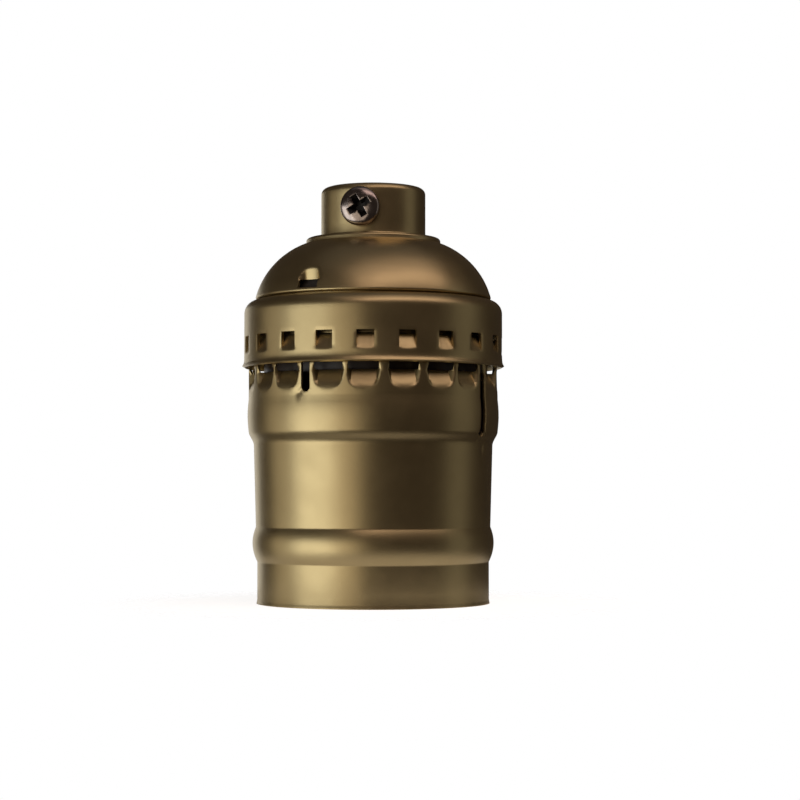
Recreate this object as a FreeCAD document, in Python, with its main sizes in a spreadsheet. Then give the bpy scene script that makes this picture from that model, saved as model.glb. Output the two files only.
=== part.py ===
# Lamp holder for a 27 mm Edison-screw lamp, in a drawn metal shell with a push-fit cap.
# Millimetres, +Z up along the axis, origin at the centre of the shell's open rim.
# Azimuths are in degrees from the front (-Y), growing towards +X.
import FreeCAD, Part
import math
import os
import re
import Sketcher

doc = FreeCAD.newDocument("lamp_holder")

# One entry per size that can be set by itself.
driving_sizes = {
    # sheet metal and fits
    "sheet_wall": 0.5,
    "slide_gap": 0.2,
    "fit_gap": 0.1,
    "thread_gap": 0.05,
    "skin_gap": 0.02,
    "edge_break": 0.3,
    # outer shell, from the rim up
    "rim_flare": 0.12,
    "rim_height": 0.6,
    "barrel_draw": 1.39,
    "barrel_height": 6.3,
    "bead_sagitta": 0.62,
    "bead_top": 11.6,
    "waist_draw": 1.15,
    "shoulder_draw": 0.81,
    "shoulder_foot": 24.0,
    "shoulder_top": 26.2,
    "upper_radius": 19.05,
    "swell_sagitta": 0.16,
    "swell_top": 31.0,
    "neck_in_foot": 36.2,
    "ring_foot": 37.6,
    "shell_top": 41.0,
    # scoops pressed in below a row of slots, in four quarters between the slits
    "scoops_per_quarter": 5,
    "scoop_shift": 2.0,
    "scoop_setback": 1.6,
    "scoop_radius": 2.8,
    "scoop_angle": 24.8,
    "scoop_top": 34.8,
    "slot_width": 4.5,
    "slot_top": 36.9,
    # slits that let the upper edge spring
    "slit_width": 1.5,
    "short_slit_azimuth": -31.3,
    "short_slit_foot": 31.6,
    "long_slit_foot": 25.2,
    # cap
    "collar_foot": 36.1,
    "lip_flare": 0.3,
    "lip_height": 0.9,
    "collar_height": 10.0,
    "ledge_round": 2.0,
    "fold_radius": 16.9,
    "fold_gap": 0.2,
    "dome_radius": 12.06,
    "dome_centre_radius": 6.37,
    "dome_drop": 2.59,
    "boss_radius": 10.3,
    "boss_round": 0.4,
    "boss_rise": 9.6,
    "neck_radius": 8.0,
    "neck_fillet": 0.4,
    "neck_round": 1.0,
    "neck_lip": 0.8,
    "neck_height": 7.8,
    "window_phase": -3.3,
    "window_width": 2.6,
    "window_height": 2.5,
    "window_rise": 3.1,
    "tab_side_gap": 0.1,
    "tab_length": 2.35,
    "tab_lean": 26,
    "lug_azimuth": -33,
    "lug_width": 3.0,
    "lug_slot_width": 3.3,
    "lug_slot_rise": 3.8,
    "lug_slot_height": 2.95,
    "lug_length": 1.3,
    "lug_root": 0.3,
    # threaded bush in the neck, and its set screw
    "pipe_thread_radius": 4.46,
    "bush_flange_width": 1.8,
    "bush_flange_thickness": 1.2,
    "set_screw_azimuth": -13,
    "set_screw_rise": 4.0,
    "set_screw_radius": 1.75,
    "set_screw_head_radius": 3.0,
    "set_screw_head_height": 1.8,
    "set_screw_head_round": 0.8,
    "set_screw_setback": 0.7,
    "set_screw_head_gap": 0.15,
    "recess_span": 3.5,
    "recess_width": 1.0,
    "recess_depth": 1.2,
    "recess_turn": 30,
    # cap liner
    "cap_liner_wall": 0.5,
    "cap_liner_offset": 0.9,
    "cap_liner_mouth": 9.6,
    # lamp thread and screw shell
    "thread_mean_radius": 12.75,
    "thread_depth": 1.06,
    "thread_pitch": 3.629,
    "thread_foot": 4.4,
    "screw_shell_wall": 0.4,
    "mouth_height": 2.6,
    "mouth_radius": 13.5,
    "floor_hole_radius": 9.0,
    # terminal block
    "block_foot": 25.4,
    "block_base_inset": 1.75,
    "block_seat": 25.8,
    "block_flange_top": 29.3,
    "block_wall_inset": 2.35,
    "block_wall": 1.5,
    "block_web_top": 31.6,
    "block_floor": 38.2,
    "crown_gap": 0.4,
    "barrier_width": 2.4,
    "barrier_height": 3.6,
    "pocket_edge": 0.2,
    "pocket_start": 5.0,
    "well_radius": 2.6,
    # shell liner
    "liner_wall": 0.8,
    "liner_foot": 1.0,
    # contact and rivets
    "disc_thickness": 0.5,
    "leaf_thickness": 0.5,
    "leaf_width": 5.0,
    "leaf_play": 0.35,
    "leaf_root": 8.4,
    "leaf_bend": 5.6,
    "leaf_tip": 1.5,
    "leaf_drop": 2.6,
    "leaf_end": 3.4,
    "leaf_kick": 0.7,
    "line_rivet_offset": 7.0,
    "rivet_circle": 10.8,
    "rivet_radius": 0.9,
    "rivet_head_radius": 1.4,
    "rivet_head_height": 0.6,
    "block_rivet_azimuth": 45,
    # terminals
    "strip_thickness": 0.8,
    "strip_width": 8.4,
    "strip_inner": 5.3,
    "strip_end_gap": 0.6,
    "screw_offset": 10.3,
    "terminal_screw_radius": 1.75,
    "terminal_screw_length": 5.3,
    "terminal_head_radius": 3.2,
    "terminal_head_height": 2.0,
    "terminal_slot_width": 0.9,
    "terminal_slot_depth": 1.0,
    "clamp_size": 7.6,
    "clamp_thickness": 0.8,
}

# Sizes that follow from the driving ones: the shell's lower parts are drawn in from its upper barrel,
# the block fits inside it, and the cap is stacked up from its collar's foot.
following_sizes = {
    "barrel_radius": "(upper_radius - barrel_draw)",
    "waist_radius": "(upper_radius - waist_draw)",
    "shoulder_foot_radius": "(upper_radius - shoulder_draw)",
    "scoop_axis": "(upper_radius + scoop_setback)",
    "block_base_radius": "(upper_radius - block_base_inset)",
    "block_wall_radius": "(upper_radius - block_wall_inset)",
    "pocket_reach": "(block_wall_radius - block_wall - pocket_edge)",
    "strip_outer": "(pocket_reach - strip_end_gap)",
    "ledge_height": "(collar_foot + collar_height)",
    "dome_centre_height": "(ledge_height - dome_drop)",
    "boss_top": "(ledge_height + boss_rise)",
    "cap_top": "(boss_top + neck_height)",
    "window_centre": "(collar_foot + window_rise)",
    "lug_slot_top": "(ledge_height + lug_slot_rise)",
    "set_screw_height": "(boss_top + set_screw_rise)",
}


def make_sheet():
    sheet = doc.addObject("Spreadsheet::Sheet", "sizes")
    for row, (alias, size) in enumerate(driving_sizes.items(), start=1):
        sheet.set(f"A{row}", alias)
        sheet.set(f"B{row}", str(size))
        sheet.setAlias(f"B{row}", alias)
    doc.recompute()
    return sheet


sheet = make_sheet()


def bound(text):
    """The expression that reads the sheet for every size named in the text."""
    def cell(word):
        name = word[0]
        if name in following_sizes:
            return bound(following_sizes[name])
        return f"sizes.{name}" if name in driving_sizes else name

    return re.sub(r"[a-z_]+", cell, text)


def value(text):
    return float(sheet.evalExpression(bound(text)))


def new_body(name):
    body = doc.addObject("PartDesign::Body", name)
    body.Label = name
    return body


def origin_part(body, role):
    return next(part for part in body.Origin.OriginFeatures if part.Role == role)


def new_sketch(body, role, name):
    sketch = body.newObject("Sketcher::SketchObject", name)
    sketch.AttachmentSupport = [(origin_part(body, role), "")]
    sketch.MapMode = "FlatFace"
    return sketch


def radial_sketch(body, name, azimuth="90"):
    """Upright sketch through the axis: x is the distance from it at an azimuth, y is the height."""
    sketch = new_sketch(body, "XZ_Plane", name)
    turn = f"placement(vector(0; 0; 0); rotation(vector(0;1;0); {azimuth} - 90))"
    sketch.setExpression("AttachmentOffset", bound(turn))
    return sketch


def level_sketch(body, name, height):
    """Sketch on a level plane at a height."""
    sketch = new_sketch(body, "XY_Plane", name)
    sketch.setExpression("AttachmentOffset.Base.z", bound(height))
    return sketch


def facing_sketch(body, name, azimuth, distance="0"):
    """Upright sketch that faces outwards at an azimuth, at a distance from the axis."""
    sketch = new_sketch(body, "XZ_Plane", name)
    place = f"vector(({distance}) * sin({azimuth}); 0; ({distance}) * cos({azimuth}))"
    sketch.setExpression("AttachmentOffset", bound(f"placement({place}; rotation(vector(0;1;0); {azimuth}))"))
    return sketch


def hold(sketch, constraint, text):
    """Add a constraint whose value follows an expression."""
    index = sketch.addConstraint(constraint)
    sketch.setExpression(f"Constraints[{index}]", bound(text))


def hold_point(sketch, geometry, point, x, y):
    """Fix a point at x, y; a zero puts it on the sketch's own axis."""
    for text, kind, axis in ((x, "DistanceX", -2), (y, "DistanceY", -1)):
        if text == "0":
            sketch.addConstraint(Sketcher.Constraint("PointOnObject", geometry, point, axis))
        else:
            hold(sketch, Sketcher.Constraint(kind, -1, 1, geometry, point, value(text)), text)


def arc_between(start, end, radius, side):
    """The minor arc from start to end that bends to the left or to the right."""
    chord = end - start
    across = FreeCAD.Vector(-chord.y, chord.x, 0).normalize()
    if side == "right":
        across = -across
        start, end = end, start
    rise = math.sqrt(radius**2 - (chord.Length / 2) ** 2)
    centre = (start + end) / 2 + across * rise
    first, last = (math.atan2(p.y - centre.y, p.x - centre.x) for p in (start, end))
    if last < first:
        last += 2 * math.pi
    return Part.ArcOfCircle(Part.Circle(centre, FreeCAD.Vector(0, 0, 1), radius), first, last)


def outline(sketch, corners):
    """Close the corners (x, y) with lines. A corner (x, y, radius, side) is reached by an arc."""
    points = [FreeCAD.Vector(value(corner[0]), value(corner[1]), 0) for corner in corners]
    starts = []
    ends = []
    for index, corner in enumerate(corners):
        start = points[index - 1]
        end = points[index]
        reversed_arc = False
        if len(corner) == 2:
            geometry = sketch.addGeometry(Part.LineSegment(start, end))
        else:
            radius, side = corner[2:]
            geometry = sketch.addGeometry(arc_between(start, end, value(radius), side))
            hold(sketch, Sketcher.Constraint("Radius", geometry, value(radius)), radius)
            reversed_arc = side == "right"
        starts.append((geometry, 2 if reversed_arc else 1))
        ends.append((geometry, 1 if reversed_arc else 2))
    for index, corner in enumerate(corners):
        following = starts[(index + 1) % len(corners)]
        sketch.addConstraint(Sketcher.Constraint("Coincident", *ends[index], *following))
        hold_point(sketch, *ends[index], corner[0], corner[1])


def rectangle(sketch, left, low, right, high):
    outline(sketch, [(left, low), (right, low), (right, high), (left, high)])


def circle(sketch, x, y, radius):
    centre = FreeCAD.Vector(value(x), value(y), 0)
    geometry = sketch.addGeometry(Part.Circle(centre, FreeCAD.Vector(0, 0, 1), value(radius)))
    hold(sketch, Sketcher.Constraint("Radius", geometry, value(radius)), radius)
    hold_point(sketch, geometry, 3, x, y)


def revolve(body, sketch, name):
    turned = body.newObject("PartDesign::Revolution", name)
    turned.Profile = sketch
    turned.ReferenceAxis = (sketch, ["V_Axis"])
    turned.Angle = 360
    return turned


def groove(body, sketch, name):
    cut = body.newObject("PartDesign::Groove", name)
    cut.Profile = sketch
    cut.ReferenceAxis = (sketch, ["V_Axis"])
    cut.Angle = 360
    return cut


def extrude(body, kind, sketch, name, length, backwards=False, both_ways=False):
    """A Pad, or a Pocket that cuts against the sketch's normal unless it is turned backwards."""
    feature = body.newObject(f"PartDesign::{kind}", name)
    feature.Profile = sketch
    feature.setExpression("Length", bound(length))
    feature.Reversed = backwards
    feature.Midplane = both_ways
    return feature


def around(body, features, name, count):
    pattern = body.newObject("PartDesign::PolarPattern", name)
    pattern.Originals = features
    pattern.Axis = (origin_part(body, "Z_Axis"), [""])
    pattern.Angle = 360
    pattern.setExpression("Occurrences", bound(count))
    body.Tip = pattern
    return pattern


def place(piece, x="0", y="0", z="0", turn="rotation(vector(0;0;1); 0)"):
    piece.setExpression("Placement", bound(f"placement(vector({x}; {y}; {z}); {turn})"))


# ---- outer shell ----

overshoot = "sheet_wall"  # how far a cutting tool runs past what it cuts


def bulge_radius(rise, step, sagitta):
    """Radius of an arc that bulges by a sagitta over its chord."""
    return f"((({rise})^2 + ({step})^2) / 4 + {sagitta}^2) / (2 * {sagitta})"


bead_radius = bulge_radius("bead_top - barrel_height", "waist_radius - barrel_radius", "bead_sagitta")
swell_radius = bulge_radius("swell_top - shoulder_top", "0", "swell_sagitta")
shoulder_rise = "((shoulder_top - shoulder_foot) / 2)"
shoulder_step = "((upper_radius - shoulder_foot_radius) / 2)"
shoulder_radius = f"({shoulder_rise}^2 + {shoulder_step}^2) / (2 * {shoulder_step})"
shoulder_middle = ("(shoulder_foot_radius + upper_radius) / 2", "(shoulder_foot + shoulder_top) / 2")
collar_radius = "(upper_radius + slide_gap + sheet_wall)"
tab_reach = "(tab_length * sin(tab_lean))"
ring_radius = f"({collar_radius} - sheet_wall - {tab_reach} - slide_gap)"
# The slots and slits are cut by upright blades that start inside the ring and the scoops.
blade_start = f"({ring_radius} - 3 * sheet_wall)"
blade_length = f"upper_radius + {overshoot} - {blade_start}"


def shell_form():
    """The shell's outside as a solid: barrel, bead, shoulder, upper barrel, ring, scoops."""
    body = new_body("shell_form")
    sketch = radial_sketch(body, "shell_outside")
    outline(sketch, [
        ("0", "0"),
        ("barrel_radius + rim_flare", "0"),
        ("barrel_radius", "rim_height"),
        ("barrel_radius", "barrel_height"),
        ("waist_radius", "bead_top", bead_radius, "left"),
        ("shoulder_foot_radius", "shoulder_foot"),
        (*shoulder_middle, shoulder_radius, "right"),
        ("upper_radius", "shoulder_top", shoulder_radius, "left"),
        ("upper_radius", "swell_top", swell_radius, "left"),
        ("upper_radius", "neck_in_foot"),
        (ring_radius, "ring_foot"),
        (ring_radius, "shell_top"),
        ("0", "shell_top"),
    ])
    revolve(body, sketch, "shell_turned")
    press_scoops(body, "0")
    return body


def scoop_azimuths():
    """Middle of each scoop from one slit to the next; the two beside the slits stand off them."""
    count = int(value("scoops_per_quarter"))
    for index in range(count):
        shift = {0: "+ scoop_shift", count - 1: "- scoop_shift"}.get(index, "")
        yield f"(short_slit_azimuth + {index + 0.5} * 90 / scoops_per_quarter {shift})"


def press_scoops(body, growth):
    """Scoops with a U-shaped lower end and a level upper edge; growth offsets their surface."""
    radius = f"(scoop_radius + ({growth}) / cos(scoop_angle))"
    cuts = []
    for index, azimuth in enumerate(scoop_azimuths()):
        sketch = facing_sketch(body, f"{body.Name}_scoop_{index}", azimuth, "scoop_axis")
        outline(sketch, [
            ("0", f"scoop_top - {radius} / tan(scoop_angle)"),
            (radius, "scoop_top"),
            ("0", "scoop_top"),
        ])
        cuts.append(groove(body, sketch, f"{body.Name}_scoop_cut_{index}"))
    around(body, cuts, f"{body.Name}_scoops", "4")


def open_slots(body):
    """A slot over each scoop."""
    pads = []
    for index, azimuth in enumerate(scoop_azimuths()):
        sketch = facing_sketch(body, f"slot_{index}", azimuth, blade_start)
        rectangle(sketch, "-slot_width / 2", "scoop_top", "slot_width / 2", "slot_top")
        pads.append(extrude(body, "Pad", sketch, f"slot_blade_{index}", blade_length))
    around(body, pads, "slots", "4")


def open_slit(body, name, azimuth, foot):
    """A slit down from the shell's top, at two opposite places."""
    sketch = facing_sketch(body, f"{name}_outline", azimuth, blade_start)
    rectangle(sketch, "-slit_width / 2", foot, "slit_width / 2", f"shell_top + {overshoot}")
    around(body, [extrude(body, "Pad", sketch, name, blade_length)], f"{name}_pair", "2")


def shell_cavity():
    """What is empty in the shell: its inside, one sheet thickness in, the slots and the slits."""
    body = new_body("shell_cavity")
    sketch = radial_sketch(body, "shell_inside")
    outline(sketch, [
        ("0", f"-{overshoot}"),
        ("barrel_radius + rim_flare - sheet_wall", f"-{overshoot}"),
        ("barrel_radius + rim_flare - sheet_wall", "0"),
        ("barrel_radius - sheet_wall", "rim_height"),
        ("barrel_radius - sheet_wall", "barrel_height"),
        ("waist_radius - sheet_wall", "bead_top", bead_radius, "left"),
        ("shoulder_foot_radius - sheet_wall", "shoulder_foot"),
        (f"{shoulder_middle[0]} - sheet_wall", shoulder_middle[1], shoulder_radius, "right"),
        ("upper_radius - sheet_wall", "shoulder_top", shoulder_radius, "left"),
        ("upper_radius - sheet_wall", "swell_top", swell_radius, "left"),
        ("upper_radius - sheet_wall", "neck_in_foot"),
        (f"{ring_radius} - sheet_wall", "ring_foot"),
        (f"{ring_radius} - sheet_wall", f"shell_top + {overshoot}"),
        ("0", f"shell_top + {overshoot}"),
    ])
    revolve(body, sketch, "cavity_turned")
    press_scoops(body, "sheet_wall")
    open_slots(body)
    open_slit(body, "short_slit", "short_slit_azimuth", "short_slit_foot")
    open_slit(body, "long_slit", "(short_slit_azimuth + 90)", "long_slit_foot")
    return body


def outer_shell():
    shell = doc.addObject("Part::Cut", "outer_shell")
    shell.Base = shell_form()
    shell.Tool = shell_cavity()
    shell.Label = "outer_shell"
    return shell


def shell_liner():
    """Fibre tube that lines the shell from the rim to the terminal block."""
    body = new_body("shell_liner")
    sketch = level_sketch(body, "liner_ring", "liner_foot")
    circle(sketch, "0", "0", "barrel_radius - sheet_wall - fit_gap")
    circle(sketch, "0", "0", "barrel_radius - sheet_wall - fit_gap - liner_wall")
    extrude(body, "Pad", sketch, "liner_tube", "block_foot - fit_gap - liner_foot")
    return body


# ---- cap ----

dome_foot = "(ledge_height + fold_gap)"
dome_foot_inside = f"({dome_foot} + sheet_wall)"


def chord(radius, width):
    """Distance from the axis of a flat face whose side edges lie just inside a radius."""
    return f"(sqrt({radius}^2 - ({width} / 2)^2) - skin_gap)"


def dome_reach(height, inset):
    """Radius of the dome's surface at a height, a distance inside its outer face."""
    return f"(dome_centre_radius + sqrt((dome_radius - {inset})^2 - ({height} - dome_centre_height)^2))"


def dome_rise(radius, inset):
    """Height of the dome's surface at a radius, a distance inside its outer face."""
    return f"(dome_centre_height + sqrt((dome_radius - {inset})^2 - ({radius} - dome_centre_radius)^2))"


def cap():
    """Neck, boss, dome, folded ledge and collar, drawn from one sheet."""
    body = new_body("cap")
    sketch = radial_sketch(body, "cap_section")
    outline(sketch, [
        (f"{collar_radius} + lip_flare", "collar_foot"),
        (collar_radius, "collar_foot + lip_height"),
        (collar_radius, "ledge_height - ledge_round"),
        (f"{collar_radius} - ledge_round", "ledge_height", "ledge_round", "left"),
        ("fold_radius", "ledge_height"),
        ("fold_radius", dome_foot),
        (dome_reach(dome_foot, "0"), dome_foot),
        ("boss_radius", dome_rise("boss_radius", "0"), "dome_radius", "left"),
        ("boss_radius", "boss_top - boss_round"),
        ("boss_radius - boss_round", "boss_top", "boss_round", "left"),
        ("neck_radius + neck_fillet", "boss_top"),
        ("neck_radius", "boss_top + neck_fillet", "neck_fillet", "right"),
        ("neck_radius", "cap_top - neck_round"),
        ("neck_radius - neck_round", "cap_top", "neck_round", "left"),
        ("neck_radius - neck_round - neck_lip", "cap_top"),
        ("neck_radius - neck_round - neck_lip", "cap_top - sheet_wall"),
        ("neck_radius - neck_round", "cap_top - sheet_wall"),
        ("neck_radius - sheet_wall", "cap_top - neck_round", "neck_round - sheet_wall", "right"),
        ("neck_radius - sheet_wall", "boss_top - sheet_wall"),
        ("boss_radius - sheet_wall", "boss_top - sheet_wall"),
        ("boss_radius - sheet_wall", dome_rise("(boss_radius - sheet_wall)", "sheet_wall")),
        (dome_reach(dome_foot_inside, "sheet_wall"), dome_foot_inside, "dome_radius - sheet_wall", "right"),
        ("fold_radius - sheet_wall", dome_foot_inside),
        ("fold_radius - sheet_wall", "ledge_height - sheet_wall"),
        (f"{collar_radius} - ledge_round", "ledge_height - sheet_wall"),
        (f"{collar_radius} - sheet_wall", "ledge_height - ledge_round", "ledge_round - sheet_wall", "right"),
        (f"{collar_radius} - sheet_wall", "collar_foot + lip_height"),
        (f"{collar_radius} + lip_flare - sheet_wall", "collar_foot"),
    ])
    revolve(body, sketch, "cap_drawn")
    cut_windows(body)
    press_lugs(body)
    hole = facing_sketch(body, "cap_screw_hole", "set_screw_azimuth")
    circle(hole, "0", "set_screw_height", "set_screw_radius + edge_break")
    extrude(body, "Pocket", hole, "cap_screw_hole_cut", f"neck_radius + {overshoot}", backwards=True)
    return body


def cut_windows(body):
    """Square windows round the collar, each with its tab pressed in about its lower edge."""
    low = "(window_centre - window_height / 2)"
    high = "(window_centre + window_height / 2)"
    sketch = facing_sketch(body, "window", "window_phase", f"({collar_radius} - 2 * sheet_wall)")
    rectangle(sketch, "-window_width / 2", low, "window_width / 2", high)
    window = extrude(body, "Pocket", sketch, "window_cut", "3 * sheet_wall", backwards=True)
    tab_width = "(window_width - 2 * tab_side_gap)"
    face = chord(collar_radius, tab_width)
    tab = radial_sketch(body, "tab", "window_phase")
    foot = f"({low} - fit_gap)"
    outline(tab, [
        (face, foot),
        (face, low),
        (f"{face} - {tab_reach}", f"{low} + tab_length * cos(tab_lean)"),
        (f"{face} - {tab_reach} - sheet_wall", f"{low} + tab_length * cos(tab_lean)"),
        (f"{face} - sheet_wall", low),
        (f"{face} - sheet_wall", foot),
    ])
    pressed = extrude(body, "Pad", tab, "tab_pressed", tab_width, both_ways=True)
    around(body, [window, pressed], "windows", "4 * scoops_per_quarter")


def press_lugs(body):
    """Two lugs cut from the dome and pressed in until they hang upright."""
    low = "(lug_slot_top - lug_slot_height)"
    start = dome_reach("lug_slot_top", "2 * sheet_wall")
    slot = facing_sketch(body, "lug_slot", "lug_azimuth", start)
    rectangle(slot, "-lug_slot_width / 2", low, "lug_slot_width / 2", "lug_slot_top")
    length = f"{dome_reach(low, '0')} + {overshoot} - {start}"
    slot_cut = extrude(body, "Pocket", slot, "lug_slot_cut", length, backwards=True)
    face = chord(dome_reach("(lug_slot_top + lug_root)", "0"), "lug_width")
    lug = facing_sketch(body, "lug", "lug_azimuth", f"{face} - sheet_wall")
    rectangle(lug, "-lug_width / 2", "lug_slot_top - lug_length", "lug_width / 2", "lug_slot_top + lug_root")
    around(body, [slot_cut, extrude(body, "Pad", lug, "lug_pressed", "sheet_wall")], "lugs", "2")


def cap_liner():
    """Fibre cup inside the dome, caught between the ledge's fold and the lugs."""
    body = new_body("cap_liner")
    sketch = radial_sketch(body, "cap_liner_section")
    outer = "(cap_liner_offset + sheet_wall)"
    inner = f"({outer} + cap_liner_wall)"
    foot = f"({dome_foot_inside} + fit_gap)"
    outline(sketch, [
        (dome_reach(foot, outer), foot),
        ("cap_liner_mouth", dome_rise("cap_liner_mouth", outer), f"dome_radius - {outer}", "left"),
        ("cap_liner_mouth", dome_rise("cap_liner_mouth", inner)),
        (dome_reach(foot, inner), foot, f"dome_radius - {inner}", "right"),
    ])
    revolve(body, sketch, "cap_liner_moulded")
    return body


def threaded_bush():
    """Flanged bush with the pipe thread, held in the neck by the turned-in edge."""
    body = new_body("threaded_bush")
    sketch = radial_sketch(body, "bush_section")
    barrel = "(neck_radius - sheet_wall - fit_gap)"
    flange_top = "(boss_top - sheet_wall)"
    top = "(cap_top - sheet_wall)"
    outline(sketch, [
        ("pipe_thread_radius", f"{flange_top} - bush_flange_thickness"),
        (f"{barrel} + bush_flange_width", f"{flange_top} - bush_flange_thickness"),
        (f"{barrel} + bush_flange_width", flange_top),
        (barrel, flange_top),
        (barrel, f"{top} - neck_round + sheet_wall"),
        (f"{barrel} - neck_round + sheet_wall", top),
        ("pipe_thread_radius", top),
    ])
    revolve(body, sketch, "bush_turned")
    hole = facing_sketch(body, "bush_screw_hole", "set_screw_azimuth")
    circle(hole, "0", "set_screw_height", "set_screw_radius + thread_gap")
    extrude(body, "Pocket", hole, "bush_screw_hole_cut", "neck_radius", backwards=True)
    return body


def set_screw():
    """Pan-head screw with a cross recess that locks the pipe; local Z points out of the head."""
    body = new_body("set_screw")
    sketch = radial_sketch(body, "set_screw_section")
    length = "(neck_radius - pipe_thread_radius - set_screw_setback)"
    crown_edge = "set_screw_head_radius - set_screw_head_round"
    outline(sketch, [
        ("0", f"-{length}"),
        ("set_screw_radius - edge_break", f"-{length}"),
        ("set_screw_radius", f"edge_break - {length}"),
        ("set_screw_radius", "0"),
        ("set_screw_head_radius", "0"),
        ("set_screw_head_radius", "set_screw_head_height - set_screw_head_round"),
        (crown_edge, "set_screw_head_height", "set_screw_head_round", "left"),
        ("0", "set_screw_head_height"),
    ])
    revolve(body, sketch, "set_screw_turned")
    recess = level_sketch(body, "set_screw_recess", "set_screw_head_height")
    arm = "(recess_span / 2)"
    half = "(recess_width / 2)"
    outline(recess, [
        (f"-{arm}", f"-{half}"), (f"-{half}", f"-{half}"), (f"-{half}", f"-{arm}"), (half, f"-{arm}"),
        (half, f"-{half}"), (arm, f"-{half}"), (arm, half), (half, half),
        (half, arm), (f"-{half}", arm), (f"-{half}", half), (f"-{arm}", half),
    ])
    extrude(body, "Pocket", recess, "set_screw_recess_cut", "recess_depth")
    seat = "(neck_radius + set_screw_head_gap)"
    point_out = "rotation(vector(0;0;1); set_screw_azimuth) * rotation(vector(1;0;0); 90)"
    spin = f"{point_out} * rotation(vector(0;0;1); recess_turn)"
    along = (f"{seat} * sin(set_screw_azimuth)", f"-{seat} * cos(set_screw_azimuth)")
    place(body, *along, "set_screw_height", spin)
    return body


# ---- inside the shell ----

floor_foot = "(block_foot - screw_shell_wall)"
plain_radius = "(thread_mean_radius + thread_depth / 2)"
thread_turns = int(value(f"({floor_foot} - screw_shell_wall - thread_foot) / thread_pitch"))
thread_top = f"(thread_foot + {thread_turns} * thread_pitch)"
rivet_hole = "rivet_radius + thread_gap"
floor_head_foot = f"({floor_foot} - rivet_head_height)"
strip_foot_top = "(block_web_top + strip_thickness)"


def thread_ridges(radius, upwards):
    """Outline corners along the thread's rounded ridges and grooves, from one end to the other."""
    ridge_radius = bulge_radius("thread_pitch / 2", "0", "(thread_depth / 2)")
    halves = range(2 * thread_turns) if upwards else reversed(range(2 * thread_turns))
    for half in halves:
        side = "left" if (half % 2 == 0) == upwards else "right"
        end = half + 1 if upwards else half
        yield (radius, f"(thread_foot + {end} * thread_pitch / 2)", ridge_radius, side)


def screw_shell():
    """Thin metal cup rolled with the lamp thread's profile, its floor against the terminal block.

    The ridges are level rings at the thread's pitch, as deep and as round as the thread.
    """
    body = new_body("screw_shell")
    sketch = radial_sketch(body, "screw_shell_section")
    wall = "screw_shell_wall"
    outline(sketch, [
        (f"mouth_radius + {wall}", "mouth_height"),
        (f"mouth_radius + {wall}", "thread_foot"),
        (f"thread_mean_radius + {wall}", "thread_foot"),
        *thread_ridges(f"thread_mean_radius + {wall}", True),
        (f"{plain_radius} + {wall}", thread_top),
        (f"{plain_radius} + {wall}", "block_foot"),
        ("floor_hole_radius", "block_foot"),
        ("floor_hole_radius", floor_foot),
        (plain_radius, floor_foot),
        (plain_radius, f"{thread_top} + {wall}"),
        ("thread_mean_radius", f"{thread_top} + {wall}"),
        ("thread_mean_radius", thread_top),
        *thread_ridges("thread_mean_radius", False),
        ("thread_mean_radius", f"thread_foot - {wall}"),
        ("mouth_radius", f"thread_foot - {wall}"),
        ("mouth_radius", "mouth_height"),
    ])
    revolve(body, sketch, "screw_shell_rolled")
    for name, x, y in shell_rivet_places():
        hole = level_sketch(body, f"floor_{name}_hole", "block_foot")
        circle(hole, x, y, rivet_hole)
        extrude(body, "Pocket", hole, f"floor_{name}_hole_cut", wall)
    return body


def shell_rivet_places():
    """Rivets through the screw shell's floor: the neutral terminal's and two plain ones."""
    diagonal_x = "rivet_circle * sin(block_rivet_azimuth)"
    diagonal_y = "rivet_circle * cos(block_rivet_azimuth)"
    return [
        ("neutral_rivet", "rivet_circle", "0"),
        ("block_rivet_right", diagonal_x, diagonal_y),
        ("block_rivet_left", f"-{diagonal_x}", f"-{diagonal_y}"),
    ]


def terminal_block():
    """Moulded cup: seat on the shell's shoulder, web, terminal pockets, barrier and crown."""
    body = new_body("terminal_block")
    sketch = radial_sketch(body, "block_section")
    crown = f"{collar_radius} - ledge_round"
    seat = "upper_radius - sheet_wall - slide_gap"
    top = "ledge_height - sheet_wall - slide_gap"
    outline(sketch, [
        ("0", "block_foot"),
        ("block_base_radius", "block_foot"),
        ("block_base_radius", "block_seat"),
        (seat, "block_seat"),
        (seat, "block_flange_top"),
        ("block_wall_radius", "block_flange_top"),
        ("block_wall_radius", "shell_top + crown_gap"),
        (crown, "shell_top + crown_gap"),
        (crown, top),
        ("block_wall_radius - block_wall", top),
        ("block_wall_radius - block_wall", "block_floor"),
        ("0", "block_floor"),
    ])
    revolve(body, sketch, "block_moulded")
    barrier = level_sketch(body, "barrier", "block_floor")
    reach = "(block_wall_radius - block_wall / 2)"
    rectangle(barrier, "-barrier_width / 2", f"-{reach}", "barrier_width / 2", reach)
    extrude(body, "Pad", barrier, "barrier_wall", "barrier_height")
    depth = "block_floor - block_web_top"
    half = "(strip_width / 2 + edge_break)"
    pockets = [("line", "-pocket_reach", "-pocket_start"), ("neutral", "pocket_start", "pocket_reach")]
    for name, left, right in pockets:
        pocket = level_sketch(body, f"{name}_pocket", "block_floor")
        rectangle(pocket, left, f"-{half}", right, half)
        extrude(body, "Pocket", pocket, f"{name}_pocket_cut", depth)
    for name, x, y in shell_rivet_places():
        if name != "neutral_rivet":
            well = level_sketch(body, f"{name}_well", "block_floor")
            circle(well, x, y, "well_radius")
            extrude(body, "Pocket", well, f"{name}_well_cut", depth)
    for name, x, y in [("line_rivet", "-line_rivet_offset", "0")] + shell_rivet_places():
        hole = level_sketch(body, f"block_{name}_hole", "block_web_top")
        circle(hole, x, y, rivet_hole)
        length = f"block_web_top - block_foot + {overshoot}"
        extrude(body, "Pocket", hole, f"block_{name}_hole_cut", length)
    return body


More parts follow.
